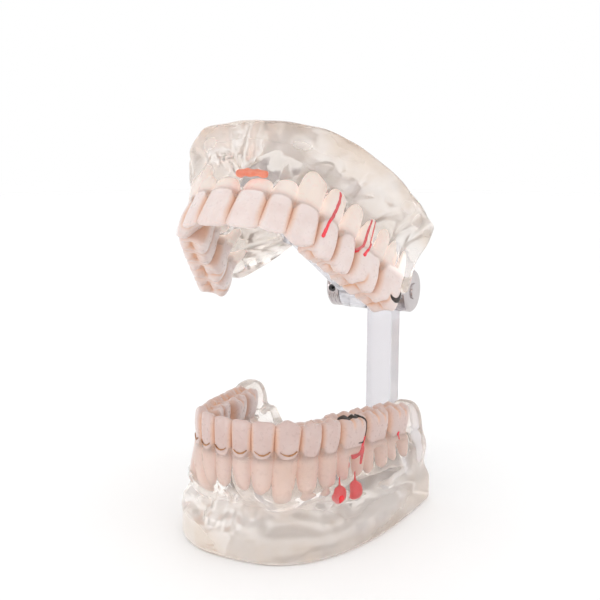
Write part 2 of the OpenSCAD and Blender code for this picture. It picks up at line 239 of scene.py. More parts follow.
def crossed_cells(f):
    """Which cells of the grid the surface crosses, and the mean of the edge crossings in each."""
    n = np.array(f.shape) - 1
    total = np.zeros((*n, 3))
    count = np.zeros(n)

    def corner(c):
        return f[c[0]:n[0] + c[0], c[1]:n[1] + c[1], c[2]:n[2] + c[2]]

    for a in [(i, j, k) for i in (0, 1) for j in (0, 1) for k in (0, 1)]:
        for axis in range(3):
            if a[axis] == 1:
                continue
            b = tuple(1 if i == axis else v for i, v in enumerate(a))
            fa, fb = corner(a), corner(b)
            crossing = (fa < 0) != (fb < 0)
            t = np.where(crossing, fa / np.where(crossing, fa - fb, 1), 0)
            for i in range(3):
                total[..., i] += np.where(crossing, a[i] + (t if i == axis else 0), 0)
            count += crossing
    active = count > 0
    return active, total[active] / count[active][:, None]


def cell_quads(inside, index):
    """A quad through the four cells round each grid edge that the surface crosses, facing outwards."""
    n = index.shape
    quads = []
    for axis in range(3):
        u, v = [i for i in range(3) if i != axis]
        low_end = tuple(slice(0 if i == axis else 1, n[i]) for i in range(3))
        high_end = tuple(slice(1, n[i] + (1 if i == axis else 0)) for i in range(3))
        change = inside[low_end] != inside[high_end]
        where = np.argwhere(change) + [0 if i == axis else 1 for i in range(3)]
        ring = []
        for du, dv in ((-1, -1), (0, -1), (0, 0), (-1, 0)):
            at = where.copy()
            at[:, u] += du
            at[:, v] += dv
            ring.append(index[at[:, 0], at[:, 1], at[:, 2]])
        quad = np.stack(ring, 1)
        outward = inside[low_end][change]
        if axis == 1:
            outward = ~outward
        quad[~outward] = quad[~outward][:, ::-1]
        quads.append(quad)
    return np.vstack(quads)


def surface(field, low, high, cell):
    """Vertices and quads of the surface field = 0 inside a box, one vertex in each crossed cell."""
    axes = [np.arange(a - cell, b + 2 * cell, cell) for a, b in zip(low, high)]
    f = field(*np.meshgrid(*axes, indexing="ij"))
    active, offset = crossed_cells(f)
    index = np.full(active.shape, -1)
    index[active] = np.arange(active.sum())
    points = np.array([a[0] for a in axes]) + (np.argwhere(active) + offset) * cell
    return onto(field, points, cell), cell_quads(f < 0, index)


SLOPE_STEP = 0.05
LEAST_SLOPE = 0.04


def onto(field, points, cell, rounds=3):
    """Moves points onto field = 0 along its slope, never more than a cell."""
    start = points.copy()
    for _ in range(rounds):
        value = field(*points.T)
        ahead = [field(*(points + SLOPE_STEP * way).T) for way in np.eye(3)]
        slope = np.stack([(further - value) / SLOPE_STEP for further in ahead], 1)
        points = points - (value / np.maximum((slope ** 2).sum(1), LEAST_SLOPE))[:, None] * slope
        away = points - start
        far = np.linalg.norm(away, axis=1)
        points = start + away * np.minimum(1, 0.9 * cell / np.maximum(far, 1e-9))[:, None]
    return points


def add_piece(name, points, faces, matrix, body, material, nodes, marks=()):
    """A mesh piece from points in millimetres, placed by matrix and riding a body."""
    m = np.array(matrix)
    world = (points @ m[:3, :3].T + m[:3, 3]) * MM
    faces = np.asarray(faces)
    if np.linalg.det(m[:3, :3]) < 0:
        faces = faces[:, ::-1]
    mesh = bpy.data.meshes.new(name)
    mesh.from_pydata(world.tolist(), [], faces.tolist())
    mesh.validate()
    mesh.shade_smooth()
    for label, values in marks:
        mesh.attributes.new(label, "FLOAT", "POINT").data.foreach_set(
            "value", np.asarray(values, np.float32))
    mesh.materials.append(material)
    piece = bpy.data.objects.new(name, mesh)
    bpy.context.scene.collection.objects.link(piece)
    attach(piece, body)
    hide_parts(*nodes)
    return piece


# ---------- materials ----------
RESIN_CLEAR = 0.95
RESIN_MILKY = 0.70
RESIN_IOR = 1.38
ROSY = ((0.60, 0.435, 0.395), (0.65, 0.50, 0.46))
WHITE = ((0.75, 0.61, 0.57), (0.81, 0.70, 0.67))
# Root colours painted lighter than the crowns: painted light for the light that reaches the roots through
# the resin
ROOT_ROSY_PAINTED_LIGHT = (0.97, 0.74, 0.66)
ROOT_WHITE_PAINTED_LIGHT = (1.0, 0.90, 0.85)
# Orange painted shade for the sides where neighbouring teeth meet and for the fissures and pits
CREVICE_SHADE_ORANGE = (0.74, 0.43, 0.28)


def new_material(name):
    """A node material; returns it with its tree, its Principled shader and a node maker."""
    material = bpy.data.materials.new(name)
    material.use_nodes = True
    tree = material.node_tree
    shader = tree.nodes["Principled BSDF"]

    def node(kind, links=(), **settings):
        made = tree.nodes.new(kind)
        for key, value in settings.items():
            if key in made.inputs:
                made.inputs[key].default_value = value
            else:
                setattr(made, key, value)
        for socket, source in links:
            tree.links.new(source, made.inputs[socket])
        return made

    return material, tree, shader, node


def noise(node, scale, detail, stretch=None):
    """Noise in the object's own metres: scale is features per metre."""
    where = node("ShaderNodeTexCoord").outputs["Object"]
    if stretch:
        where = node("ShaderNodeMapping", [("Vector", where)], Scale=stretch).outputs["Vector"]
    return node("ShaderNodeTexNoise", [("Vector", where)], Scale=scale, Detail=detail).outputs["Fac"]


def mark(node, name):
    """The mark of that name that add_piece() wrote on the points."""
    return node("ShaderNodeAttribute", attribute_name=name).outputs["Fac"]


def colour_ramp(node, source, stops):
    """The colour at source, between stops of (position, colour)."""
    stops = list(stops)
    ramp_node = node("ShaderNodeValToRGB", [("Fac", source)])
    elements = ramp_node.color_ramp.elements
    while len(elements) < len(stops):
        elements.new(0.5)
    for element, (position, colour) in zip(elements, stops):
        element.position = position
        element.color = (*colour, 1)
    return ramp_node.outputs["Color"]


def spread(node, source, low, high):
    """The source, taken as 0 to 1, spread from low to high."""
    return node("ShaderNodeMapRange", [("Value", source)], **{
        "From Min": 0.0, "From Max": 1.0, "To Min": low, "To Max": high}).outputs["Result"]


def blend_colour(node, factor, a, b):
    """a where factor is 0, b where it is 1; each is a socket or a colour."""
    mixer = node("ShaderNodeMix", data_type="RGBA")
    links = mixer.id_data.links
    # Inputs 0, 6 and 7 are the factor and the two colours, output 2 is the mixed colour
    for place, value in ((0, factor), (6, a), (7, b)):
        socket = mixer.inputs[place]
        if isinstance(value, bpy.types.NodeSocket):
            links.new(value, socket)
        elif isinstance(value, tuple):
            socket.default_value = (*value, 1)
        else:
            socket.default_value = value
    return mixer.outputs[2]


def bump_normal(node, height, strength, distance):
    made = node("ShaderNodeBump", [("Height", height)], Strength=strength, Distance=distance)
    return made.outputs["Normal"]


def tooth_material():
    """Ivory plastic, rosier in the lower jaw, with orange painted shade between the teeth and in the
    fissures and pits; under the gum the roots are painted lighter and given a painted glow, for the light
    that reaches them through the resin.
    """
    material, tree, shader, node = new_material("tooth_ivory")
    pale = mark(node, "pale")
    crevice_shade = mark(node, "crevice_shade")
    under = mark(node, "under")
    rosy, white = (colour_ramp(node, noise(node, 260, 4), zip((0.3, 0.7), pair))
                   for pair in (ROSY, WHITE))
    # The crown colour, with orange painted shade between the teeth and in the fissures and pits
    crown = blend_colour(node, crevice_shade, blend_colour(node, pale, rosy, white), CREVICE_SHADE_ORANGE)
    # Painted light: the roots under the gum are coloured lighter than the crowns
    root = blend_colour(node, pale, ROOT_ROSY_PAINTED_LIGHT, ROOT_WHITE_PAINTED_LIGHT)
    whole = blend_colour(node, under, crown, root)
    tree.links.new(whole, shader.inputs["Base Color"])
    # Painted light: the roots glow under the gum, more in the upper jaw
    glow = node("ShaderNodeMath", [(0, under), (1, spread(node, pale, 0.05, 0.18))], operation="MULTIPLY")
    tree.links.new(glow.outputs[0], shader.inputs["Emission Strength"])
    shader.inputs["Emission Color"].default_value = (1.0, 0.84, 0.76, 1)
    tree.links.new(spread(node, noise(node, 900, 2), 0.22, 0.36), shader.inputs["Roughness"])
    grain = noise(node, 600, 3, (1.0, 1.0, 0.3))
    tree.links.new(bump_normal(node, grain, 0.06, 0.0001), shader.inputs["Normal"])
    shader.inputs["Subsurface Weight"].default_value = 0.12
    shader.inputs["Subsurface Radius"].default_value = (0.0016, 0.0009, 0.0006)
    shader.inputs["Coat Weight"].default_value = 0.35
    shader.inputs["Coat Roughness"].default_value = 0.12
    return material


def resin_material():
    """Cast resin, clear over the roots and milky below them, with frosted bands and gentle ripples; tan
    painted shade and painted reflection of the teeth on the upper top and the lower foot, and a faint
    painted glow low in the lower base.
    """
    material, tree, shader, node = new_material("clear_resin")
    milk = mark(node, "milk")
    frost = mark(node, "frost")
    patches = colour_ramp(node, noise(node, 90, 3), [(0.45, (0, 0, 0)), (0.75, (1, 1, 1))])
    haze = node("ShaderNodeMath", [(0, frost), (1, patches)], operation="MULTIPLY_ADD")
    tree.links.new(frost, haze.inputs[2])
    tree.links.new(spread(node, haze.outputs[0], 0.05, 0.36), shader.inputs["Roughness"])
    clear = colour_ramp(node, noise(node, 70, 3), [
        (0.34, (0.965, 0.90, 0.84)), (0.50, (0.985, 0.955, 0.93)), (0.68, (0.99, 0.965, 0.95))])
    cloudy = colour_ramp(node, noise(node, 85, 4), [
        (0.36, (0.88, 0.78, 0.69)), (0.48, (0.94, 0.885, 0.84)), (0.64, (0.95, 0.92, 0.90))])
    # Tan painted shade with painted reflection of the tan teeth, on the upper flat top and the lower foot
    tan = colour_ramp(node, noise(node, 75, 3), [
        (0.38, (0.74, 0.61, 0.50)), (0.52, (0.78, 0.70, 0.63)), (0.66, (0.80, 0.76, 0.73))])
    shade_tan_mask = mark(node, "tan")
    body = blend_colour(node, shade_tan_mask, blend_colour(node, milk, clear, cloudy), tan)
    tree.links.new(body, shader.inputs["Base Color"])
    opaque = node("ShaderNodeMath", [(0, frost), (1, milk)], operation="MAXIMUM").outputs[0]
    tree.links.new(spread(node, opaque, RESIN_CLEAR, RESIN_MILKY), shader.inputs["Transmission Weight"])
    # Painted light: a faint warm glow in the milky low part of the lower base
    shader.inputs["Emission Color"].default_value = (1.0, 0.90, 0.84, 1)
    glow = mark(node, "glow")
    tree.links.new(spread(node, glow, 0.02, 0.05), shader.inputs["Emission Strength"])
    ripple = noise(node, 320, 2)
    tree.links.new(bump_normal(node, ripple, 0.2, 0.0004), shader.inputs["Normal"])
    shader.inputs["IOR"].default_value = RESIN_IOR
    return material


def acrylic_material():
    """Polished clear acrylic bar with faint polishing lines."""
    material, tree, shader, node = new_material("clear_acrylic")
    lines = noise(node, 500, 2, (1.0, 1.0, 0.06))
    tree.links.new(spread(node, lines, 0.01, 0.09), shader.inputs["Roughness"])
    tree.links.new(blend_colour(node, noise(node, 70, 1), (0.93, 0.92, 0.96), (0.96, 0.95, 0.98)),
                   shader.inputs["Base Color"])
    tree.links.new(bump_normal(node, lines, 0.05, 0.0002), shader.inputs["Normal"])
    shader.inputs["Transmission Weight"].default_value = 0.72
    shader.inputs["IOR"].default_value = 1.45
    return material


def steel_material(name, light, dark, low, high):
    """Turned steel: fine lines round the hinge axis and a little tonal change."""
    material, tree, shader, node = new_material(name)
    lines = noise(node, 1200, 2, (6.0, 0.4, 0.4))
    cloud = noise(node, 240, 3)
    tree.links.new(blend_colour(node, cloud, dark, light), shader.inputs["Base Color"])
    tree.links.new(spread(node, lines, low, high), shader.inputs["Roughness"])
    tree.links.new(bump_normal(node, lines, 0.15, 0.0001), shader.inputs["Normal"])
    shader.inputs["Metallic"].default_value = 1.0
    return material


def paint_material(name, deep, bright, roughness, scale, coat, glow=0.0):
    """Hand painted or moulded colour with cloudy depth; glow is painted light, an emission that keeps it
    vivid inside the resin.
    """
    material, tree, shader, node = new_material(name)
    cloud = noise(node, scale, 4)
    tree.links.new(colour_ramp(node, cloud, [(0.3, deep), (0.7, bright)]), shader.inputs["Base Color"])
    tree.links.new(spread(node, noise(node, 3 * scale, 2), roughness, roughness + 0.2),
                   shader.inputs["Roughness"])
    tree.links.new(bump_normal(node, cloud, 0.3, 0.0002), shader.inputs["Normal"])
    shader.inputs["Coat Weight"].default_value = coat
    shader.inputs["Emission Color"].default_value = (*deep, 1)
    shader.inputs["Emission Strength"].default_value = glow
    return material


IVORY = tooth_material()
RESIN = resin_material()
ACRYLIC = acrylic_material()
BRIGHT_STEEL = steel_material("bright_steel", (0.62, 0.57, 0.57), (0.45, 0.41, 0.41), 0.12, 0.26)
DARK_STEEL = paint_material("dark_steel", (0.03, 0.028, 0.03), (0.09, 0.085, 0.09), 0.35, 900, 0.0)
TARTAR = paint_material("brown_tartar", (0.2, 0.07, 0.022), (0.6, 0.3, 0.13), 0.45, 700, 0.1)
DECAY = paint_material("black_decay", (0.008, 0.006, 0.006), (0.06, 0.04, 0.03), 0.5, 1500, 0.1)
# The last number of pulp, cyst and lesion is painted light: they glow to stay vivid inside the resin
PULP = paint_material("pulp_red", (0.70, 0.025, 0.045), (0.88, 0.07, 0.09), 0.3, 900, 0.2, 0.15)
CYST = paint_material("cyst_red", (0.60, 0.006, 0.01), (0.72, 0.015, 0.025), 0.15, 600, 0.0, 0.3)
LESION = paint_material("lesion_orange", (0.86, 0.16, 0.05), (0.92, 0.30, 0.18), 0.25, 500, 0.0, 0.2)

# ---------- teeth ----------
HEIGHTS = (0, 0.3, 0.6, 0.85, 1)
# Per class, at those heights of the crown: half width as a share of the width, then the
# cheek side and the tongue side as shares of the depth
CLASSES = {
    "incisor": ((0.482, 0.492, 0.50, 0.504, 0.497), (-0.02, -0.08, -0.10, -0.08, -0.05),
                (0.76, 0.68, 0.40, 0.22, 0.13)),
    "canine": ((0.48, 0.492, 0.502, 0.497, 0.43), (-0.04, -0.11, -0.13, -0.09, -0.02),
               (0.80, 0.74, 0.50, 0.30, 0.16)),
    "premolar": ((0.478, 0.492, 0.503, 0.498, 0.46), (0.0, -0.07, -0.09, -0.04, 0.06),
                 (0.74, 0.81, 0.83, 0.78, 0.64)),
    "molar": ((0.48, 0.493, 0.503, 0.498, 0.47), (-0.01, -0.09, -0.11, -0.06, 0.04),
              (0.75, 0.82, 0.84, 0.79, 0.68)),
}
# Cusps as (x, y, height) in shares of the half width and half depth, and millimetres
CUSPS = {
    ("lower", "premolar"): ((0.0, -0.42, 2.0), (-0.1, 0.5, 0.9)),
    ("upper", "premolar"): ((0.0, -0.45, 2.0), (0.0, 0.5, 1.5)),
    ("lower", "molar"): ((-0.52, -0.45, 1.6), (0.08, -0.5, 1.6), (0.62, -0.36, 1.3),
                         (-0.42, 0.5, 1.7), (0.4, 0.5, 1.6)),
    ("upper", "molar"): ((-0.45, -0.45, 1.8), (0.42, -0.48, 1.6), (-0.3, 0.42, 1.7),
                         (0.52, 0.52, 1.1)),
}
CUSP_DROP = 2.0
CUSP_LIMIT = 2.1
GROOVE_DEPTH = 0.45
# Root middles as shares of a molar's width and depth
ROOT_AT = {"lower": ((-0.26, 0.34), (0.26, 0.34)), "upper": ((-0.26, 0.24), (0.26, 0.24), (0.0, 0.62))}
# How far the body of a tooth reaches below the gum line: in molars, down to where the roots part
NECK = 0.6
FURCATION = 2.2
# Squareness of the outline of front and back teeth
FRONT_POWER = 3.4
BACK_POWER = 3.8


def tooth_class(kind):
    return KINDS[kind].split("_")[-1]


def grooves(jaw, kind, xn, yn):
    """Depth share of the fissures of a back tooth's biting face."""
    if kind < FIRST_PREMOLAR:
        return 0 * xn
    across = bump(yn, 0.04 * np.sin(5 * xn), 0.12) * ramp(-np.abs(xn), -0.82, -0.6)
    if kind < FIRST_MOLAR:
        pits = bump(np.abs(xn), 0.55, 0.1) * bump(yn, 0, 0.35)
        return np.maximum(across, 0.8 * pits)
    cheek = bump(xn, -0.2 if jaw == "lower" else 0.0, 0.09) * ramp(-yn, -0.05, 0.1)
    second = bump(xn, 0.38, 0.08) * ramp(-yn, -0.05, 0.1) if jaw == "lower" else 0 * xn
    tongue = bump(xn, 0.0 if jaw == "lower" else 0.2, 0.09) * ramp(yn, -0.05, 0.1)
    return np.maximum(np.maximum(across, cheek), np.maximum(second, tongue))


def biting_height(jaw, kind, xn, yn):
    """How far the biting surface lies below the crown's full height."""
    if kind < CANINE:
        return 0.12 + 0.32 * np.abs(xn) ** 5 + 0.2 * np.maximum(xn, 0) ** 3 + 0.05 * np.cos(9 * xn)
    if kind == CANINE:
        return 0.1 + 2.0 * (np.sqrt((xn + 0.08) ** 2 + 0.03) - 0.17)
    size, wide = (0.42, 2.2) if kind < FIRST_MOLAR else (0.3, 1.0)
    rise = sum(h * np.exp(-((xn - x) ** 2 / wide + (yn - y) ** 2) / size ** 2)
               for x, y, h in CUSPS[jaw, tooth_class(kind)])
    ridges = 0.7 * bump(np.abs(xn), 0.8, 0.22) + 0.5 * bump(np.abs(yn), 0.85, 0.25)
    return CUSP_DROP - np.minimum(rise + ridges, CUSP_LIMIT) + GROOVE_DEPTH * grooves(jaw, kind, xn, yn)


def tooth_outline(jaw, kind, z):
    """Half width, cheek side and tongue side of the crown at height z, in millimetres."""
    half, cheek, tongue = CLASSES[tooth_class(kind)]
    t = z / CROWN[jaw][kind]
    w, d = WIDTH[jaw][kind], DEPTH[jaw][kind]
    return w * spline(t, HEIGHTS, half), d * spline(t, HEIGHTS, cheek), d * spline(t, HEIGHTS, tongue)


def shares(jaw, kind, x, y):
    """x and y as shares of the half width and half depth near the biting end."""
    half, cheek, tongue = (float(v) for v in tooth_outline(jaw, kind, 0.85 * CROWN[jaw][kind]))
    return x / half, (y - (cheek + tongue) / 2) / ((tongue - cheek) / 2)


def oval(x, y, half, cheek, tongue, power):
    """About the distance from a rounded-square outline."""
    deep = (tongue - cheek) / 2
    u, v = np.abs(x) / half, np.abs(y - (cheek + tongue) / 2) / deep
    return ((u ** power + v ** power + 1e-9) ** (1 / power) - 1) * np.minimum(half, deep)


def root_column(x, y, z, half, deep, top, length):
    """A tapering root with an oval section and a blunt tip; it leans a little to the back."""
    q = np.clip((top - z) / (length + top), 0, 1)
    taper = (1 - 0.46 * q ** 2.2) * np.sqrt(np.clip(1 - ramp(q, 0.78, 1.04) ** 2, 0.02, 1))
    x = x - 0.5 * q ** 2
    u = np.sqrt((x / (half * taper)) ** 2 + (y / (deep * taper)) ** 2 + 1e-9)
    side = (u - 1) * np.minimum(half, deep) * taper
    return smax(smax(side, -length - z, 0.4), z - top, 0.4)


def tooth_field(jaw, kind):
    """The field of a whole tooth, crown and roots, in its own frame."""
    w, d, h, length = (size[jaw][kind] for size in (WIDTH, DEPTH, CROWN, ROOT))

    def field(x, y, z):
        half, cheek, tongue = tooth_outline(jaw, kind, z)
        xn, yn = shares(jaw, kind, x, y)
        if kind < FIRST_PREMOLAR:
            cheek = cheek + 0.05 * np.cos(6.3 * x / half) * ramp(z, 2, 5)
        if kind >= FIRST_MOLAR:
            furrow = bump(xn, 0.0 if jaw == "upper" else -0.2, 0.16)
            cheek = cheek + 0.35 * furrow * ramp(z, 3, h)
        body = oval(x, y, half, cheek, tongue, FRONT_POWER if kind < FIRST_PREMOLAR else BACK_POWER)
        body = smax(body, z - (h - biting_height(jaw, kind, xn, yn)), 0.45)
        body = smax(body, -z - (NECK if kind < FIRST_MOLAR else FURCATION), 0.8)
        if kind < FIRST_MOLAR:
            middle = 0.40 * d
            lean = 0.13 * np.clip(-z, 0, 20) if kind < FIRST_PREMOLAR else 0
            roots = root_column(x, y - middle - lean, z, 0.478 * w, 0.42 * d, 1.0, length)
        else:
            wide = 0.245 * w if jaw == "lower" else 0.235 * w
            deep = 0.33 * d if jaw == "lower" else 0.24 * d
            roots = None
            for rx, ry in ROOT_AT[jaw]:
                bend = 0.5 * np.sign(rx) * bump(z, -0.45 * length, 0.4 * length)
                one = root_column(x - rx * w - bend, y - ry * d, z, wide, deep, 1.0, length)
                roots = one if roots is None else smin(roots, one, 0.6)
        return smin(body, roots, 0.9)

    return field


def tooth_marks(jaw, kind, points):
    """Where a tooth gets orange painted shade, between the teeth and in the fissures and pits, and how
    far it lies under the gum, from 0 to 1.
    """
    x, y, z = points.T
    h = CROWN[jaw][kind]
    half = tooth_outline(jaw, kind, z)[0]
    xn, yn = shares(jaw, kind, x, y)
    # Painted shade: orange darkening where neighbouring teeth meet, in the fissures and in the middle pit
    # of back teeth
    between = ramp(np.abs(x) / half, 0.64, 0.97) * ramp(z, -6.0, 0.5) * ramp(-z, -h - 2, -0.5 * h)
    fissure = grooves(jaw, kind, xn, yn) * ramp(z, 0.5 * h, 0.75 * h)
    pit = ramp(-np.hypot(xn, yn), -0.9, -0.1) * ramp(z, 0.5 * h, 0.7 * h) * (kind >= FIRST_PREMOLAR)
    crevice_shade = np.clip(0.75 * between + 0.9 * fissure + 0.5 * pit, 0, 1)
    return crevice_shade, ramp(-z, -0.5, 2.5)


TOOTH_CELL = 0.42
MISSING_TOOTH = ("lower", THIRD_MOLAR, "right")
FIELDS = {(jaw, kind): tooth_field(jaw, kind) for jaw in WIDTH for kind in range(len(WIDTH[jaw]))}


def add_teeth():
    """Each kind of tooth is meshed once and placed on both sides, mirrored on the right."""
    for (jaw, kind), field in FIELDS.items():
        w, d, h, length = (size[jaw][kind] for size in (WIDTH, DEPTH, CROWN, ROOT))
        points, quads = surface(field, (-w / 2 - 0.8, -0.25 * d - 0.6, -length - 0.8),
                                (w / 2 + 0.8, 0.95 * d + 2, h + 0.6), TOOTH_CELL)
        crevice_shade, under = tooth_marks(jaw, kind, points)
        pale = np.full(len(points), float(jaw == "upper"))
        for word, side in SIDES.items():
            if (jaw, kind, word) == MISSING_TOOTH:
                continue
            node = f"{jaw}_{word}_{KINDS[kind]}"
            add_piece(f"tooth_{node}", points, quads, tooth_frame(jaw, kind, side), jaw + "_jaw",
                      IVORY, [node], [("crevice_shade", crevice_shade), ("under", under), ("pale", pale)])


add_teeth()

# ---------- resin jaws ----------
GUM_CELL = 0.62
TONGUE_SPACE_HALF_W = 15.2
TONGUE_SPACE_FRONT = -18.0
PLATE_HALF_W = 17.0
PLATE_FRONT = -19.0
# The clear pads behind the last lower molars, left and right: middle x and y, half width, half depth
PADS = ((24.2, 27.3, 5.2, 3.1), (-26.0, 23.7, 4.6, 6.7))
PAD_LOW = 12
PAD_SHOULDER = 17
PAD_RISE = 12.4


def tooth_bounds(jaw):
    """Distances along the arch where neighbouring teeth meet."""
    return np.cumsum((0, *WIDTH[jaw]))


def along_arch(jaw, s, values):
    """A per-tooth value, smooth from tooth to tooth along the arch."""
    middles = [tooth_middle(jaw, kind) for kind in range(len(WIDTH[jaw]))]
    return np.interp(s, middles, values)


def papillae(jaw, s, height):
    """Height of the gum points that rise between neighbouring teeth."""
    return sum(height * bump(s, at, 1.3) for at in tooth_bounds(jaw)[:-1])


def root_swell(jaw, s):
    """1 over the middle of each tooth's root, 0 between two teeth."""
    return sum(bump(s, tooth_middle(jaw, kind), 0.3 * w) for kind, w in enumerate(WIDTH[jaw]))


def plan_distance(x, y, half_w, front, full):
    """About the distance outside a horseshoe plan that widens from its rounded front."""
    u = np.abs(x) / half_w
    v = np.maximum(front + full - y, 0) / full
    p = PLAN_POWER
    e = (u ** p + v ** p + 1e-9) ** (1 / p)
    slope = np.sqrt((u ** (p - 1) / half_w) ** 2 + (v ** (p - 1) / full) ** 2) / e ** (p - 1)
    return (e - 1) / np.maximum(slope, 1e-3)


def gum_collar(jaw, s, t, v, slope_out, slope_in):
    """Limits the resin near the gum line to a collar round the necks that flares below the roots."""
    depth = along_arch(jaw, s, DEPTH[jaw])
    down = np.maximum(-v, 0)
    cheek = -0.02 * depth - 0.45 - slope_out * down - 0.7 * np.maximum(down - 8, 0)
    tongue = 0.77 * depth + 0.9 + slope_in * down
    return smax(cheek - t, t - tongue, 0.5)


def unplace(jaw, x, y, z):
    """Row frame millimetres to the gum frame: x, y and the height above the gum line."""
    m = np.array(GUM_FRAME[jaw].inverted())
    return tuple(m[i, 0] * x + m[i, 1] * y + m[i, 2] * z + m[i, 3] for i in range(3))


def pad_field(x, y, z, middle_x, middle_y, half_w, half_d):
    """One clear pad: a rounded block with a domed top, cut off flat below."""
    u, w = np.abs(x - middle_x) / half_w, np.abs(y - middle_y) / half_d
    dome = np.maximum(z - PAD_SHOULDER, 0) / PAD_RISE
    pad = (u ** 3 + w ** 3 + dome ** 3 + 1e-9) ** (1 / 3) - 1
    return smax(pad * min(half_w, half_d), PAD_LOW - z, 1)


def lower_inset(x, y, z, s, swell):
    """How far the lower wall stands inside the foot: a hollow with sculpted folds, deeper in front."""
    front = ramp(-y, 0, 20)
    hollow = (2.0 * front + 0.5) * bump(z, 13.2 + 1.6 * np.sin(0.33 * s), 3.4)
    folds = 0.5 * front * bump(z, 12, 5) * np.sin(0.9 * s + 0.35 * z + 1.3 * np.sin(0.21 * s))
    folds = folds + 0.35 * front * bump(z, 11, 4) * np.sin(1.7 * z + 1.8 * np.sin(0.3 * s))
    inset = 0.15 + 1.1 * ramp(z, 6.5, 10.5) + hollow + folds - 0.5 * swell
    return inset + 0.25 * ramp(z, 7, 12) * waves(x, y, z, 9, 3)


def lower_resin(x, y, z):
    """The lower base: a folded wall with a flared foot, a floor plate and the two pads."""
    gx, gy, v = unplace("lower", x, y, z)
    s, t = arch_coordinates(gx, gy, "lower")
    swell = root_swell("lower", s) * bump(v, -5, 6)
    inset = lower_inset(x, y, z, s, swell)
    wall = plan_distance(x, y, BASE_HALF_W - inset, inset - BASE_BACK, BASE_FULL - inset)
    top = v - (papillae("lower", s, 1.7) - 0.15 + 0.12 * waves(x, y, z, 5, 4))
    body = smax(wall, top, 0.9)
    body = smax(body, gum_collar("lower", s, t, v, 0.16 + 0.3 * ramp(s, 34, 50), 0.55), 1.2)
    floor = FLOOR_H - 0.1 - z
    hollow_half_w = TONGUE_SPACE_HALF_W - 0.25 * swell
    tongue_space = smax(plan_distance(x, y, hollow_half_w, TONGUE_SPACE_FRONT, BASE_FULL), floor, 1.2)
    body = smax(body, -tongue_space, 1.6)
    for pad in PADS:
        body = smin(body, pad_field(x, y, z, *pad), 1.2)
    plate = smax(plan_distance(x, y, PLATE_HALF_W, PLATE_FRONT, BASE_FULL), -floor, 0.6)
    body = smin(body, plate, 0.8)
    body = smax(body, y - BASE_BACK, 1.4)
    return smax(body, -z, 0.7)


def closed_bite(y, z):
    """Row frame y and z once the upper jaw is turned back to the closed bite."""
    a = math.radians(OPEN_ANGLE)
    dy, dz = y - HINGE[1], z - HINGE[2]
    return HINGE[1] + dy * math.cos(a) - dz * math.sin(a), HINGE[2] + dy * math.sin(a) + dz * math.cos(a)


def arm_slot(x, y, z):
    """The slot in the back of the upper base that holds the hinge arm."""
    y, z = closed_bite(y, z)
    sides = np.abs(x - ARM_MIDDLE_X) - ARM_SLOT_HALF_W
    return np.maximum(np.maximum(sides, ARM_FRONT - SLOT_GAP - y), ARM_LOW - SLOT_GAP - z)


def palate_vault(gx, gy, v):
    """The hollow of the palate, with faint cross ridges behind the front teeth."""
    ridges = 0.35 * ramp(-gy, -26, -12) * ramp(np.abs(gx), 1, 3)
    ridges = ridges * np.sin(1.35 * (gy + 0.12 * np.abs(gx) ** 1.4))
    span = np.sqrt(gx ** 2 + np.minimum(gy - VAULT_Y, 0) ** 2)
    vault = np.sqrt((span / VAULT_HALF_W) ** 2 + (v / (VAULT_H + ridges)) ** 2 + 1e-9)
    return (vault - 1) * VAULT_H


def upper_resin(x, y, z):
    """The upper base: a wall that flares to the flat top, a ridged palate vault and the arm's slot."""
    gx, gy, v = unplace("upper", x, y, z)
    s, t = arch_coordinates(gx, gy, "upper")
    flare = ramp(-v, 5, UPPER_H - 3)
    swell = root_swell("upper", s) * bump(v, -6, 6)
    folds = 0.5 * bump(v, -11, 5) * np.sin(0.75 * s + 0.3 * v + 1.2 * np.sin(0.25 * s))
    inset = 0.9 * bump(v, -12, 4) + folds - 0.55 * swell + 0.3 * waves(gx, gy, v, 10, 7)
    frenum = 1.5 * bump(gx, 0, 1.3) * bump(v, -12, 5)
    half_w = UPPER_GUM_HALF_W + (UPPER_TOP_HALF_W - UPPER_GUM_HALF_W) * flare - inset
    wall = plan_distance(gx, gy, half_w, -0.5 - 2.0 * flare + inset - frenum, UPPER_DEPTH + 8)
    top = v - (papillae("upper", s, 1.8) - 0.15 + 0.12 * waves(gx, gy, v, 5, 8))
    body = smax(wall, top, 0.9)
    inner = smax(gum_collar("upper", s, t, v, 0.25, 1.2), -palate_vault(gx, gy, v), 1.0)
    body = smax(body, inner, 1.2)
    body = smax(body, gy - UPPER_DEPTH + 4 * flare, 2.0)
    body = smax(body, -v - UPPER_H + 0.15 * waves(gx, gy, v, 14, 9), 1.6)
    return smax(body, -arm_slot(x, y, z), 0.3)


